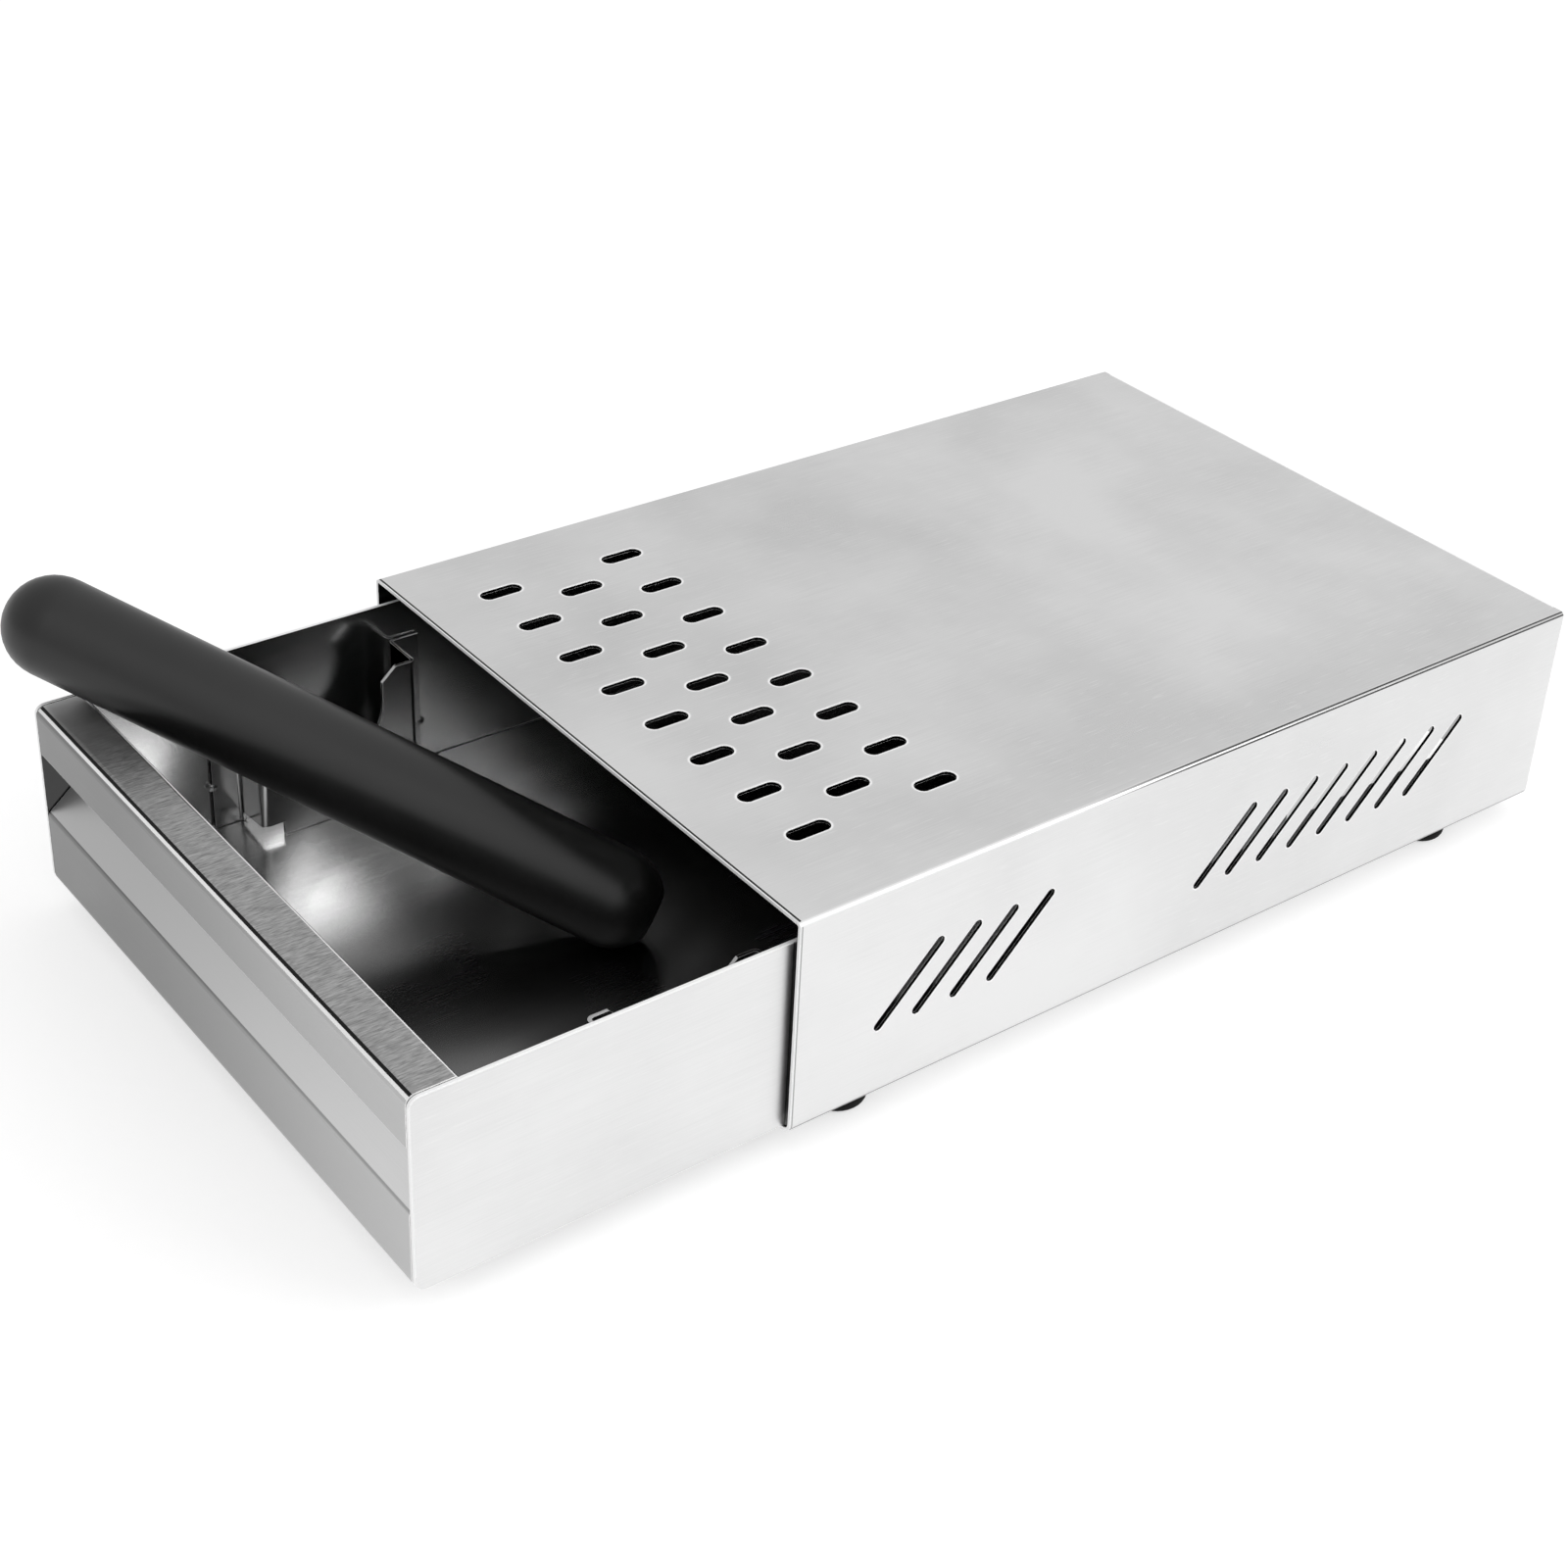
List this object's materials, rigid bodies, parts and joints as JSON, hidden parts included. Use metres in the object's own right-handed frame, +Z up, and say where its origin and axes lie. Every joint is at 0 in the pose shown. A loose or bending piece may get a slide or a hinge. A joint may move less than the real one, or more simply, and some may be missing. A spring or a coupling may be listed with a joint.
{
  "type": "coffee knock drawer",
  "caption": "Low slotted steel housing on rubber feet with an open sheet-metal drawer, notched bar cradles and a loose rubber-covered knock bar leaning in it.",
  "frame": {"origin": "middle of the footprint of the object's bounding box, on the bench", "axes": "+X to the right across the front, +Y from the drawer's front to the back, +Z up"},
  "size_m": [0.215, 0.387, 0.0954],
  "materials": {
    "housing_steel": "brushed stainless steel",
    "drawer_steel": "brushed stainless steel",
    "inner_steel": "polished stainless steel",
    "bar_rubber": "satin black rubber",
    "bar_steel": "zinc-plated round bar",
    "foot_rubber": "matt black rubber",
    "screw_steel": "zinc-plated steel"
  },
  "bodies": {
    "housing": {"housing_shell": "housing_steel", "rear_panel": "housing_steel", "foot_front_left": "foot_rubber", "foot_front_right": "foot_rubber", "foot_rear_left": "foot_rubber", "foot_rear_right": "foot_rubber", "foot_washer_front_left": "screw_steel", "foot_washer_front_right": "screw_steel", "foot_washer_rear_left": "screw_steel", "foot_washer_rear_right": "screw_steel", "foot_screw_front_left": "screw_steel", "foot_screw_front_right": "screw_steel", "foot_screw_rear_left": "screw_steel", "foot_screw_rear_right": "screw_steel"},
    "drawer": {"drawer_front": "drawer_steel", "drawer_side_left": "drawer_steel", "drawer_side_right": "drawer_steel", "drawer_base": "inner_steel", "cradle_left": "inner_steel", "cradle_right": "inner_steel"},
    "bar": {"bar_sleeve": "bar_rubber", "bar_core": "bar_steel"}
  },
  "joints": [
    {"name": "drawer_slide", "type": "slide", "parent": "housing", "child": "drawer", "axis": [0, 1, 0], "range_m": [0, 0.103]},
    {"name": "bar_draw", "type": "slide", "parent": "drawer", "child": "bar", "axis": [-0.6918, -0.6215, 0.3676], "range_m": [0, 0.26]}
  ],
  "couplings": [
    {"joint": "bar_draw", "follows": "drawer_slide", "ratio": 2.5}
  ]
}
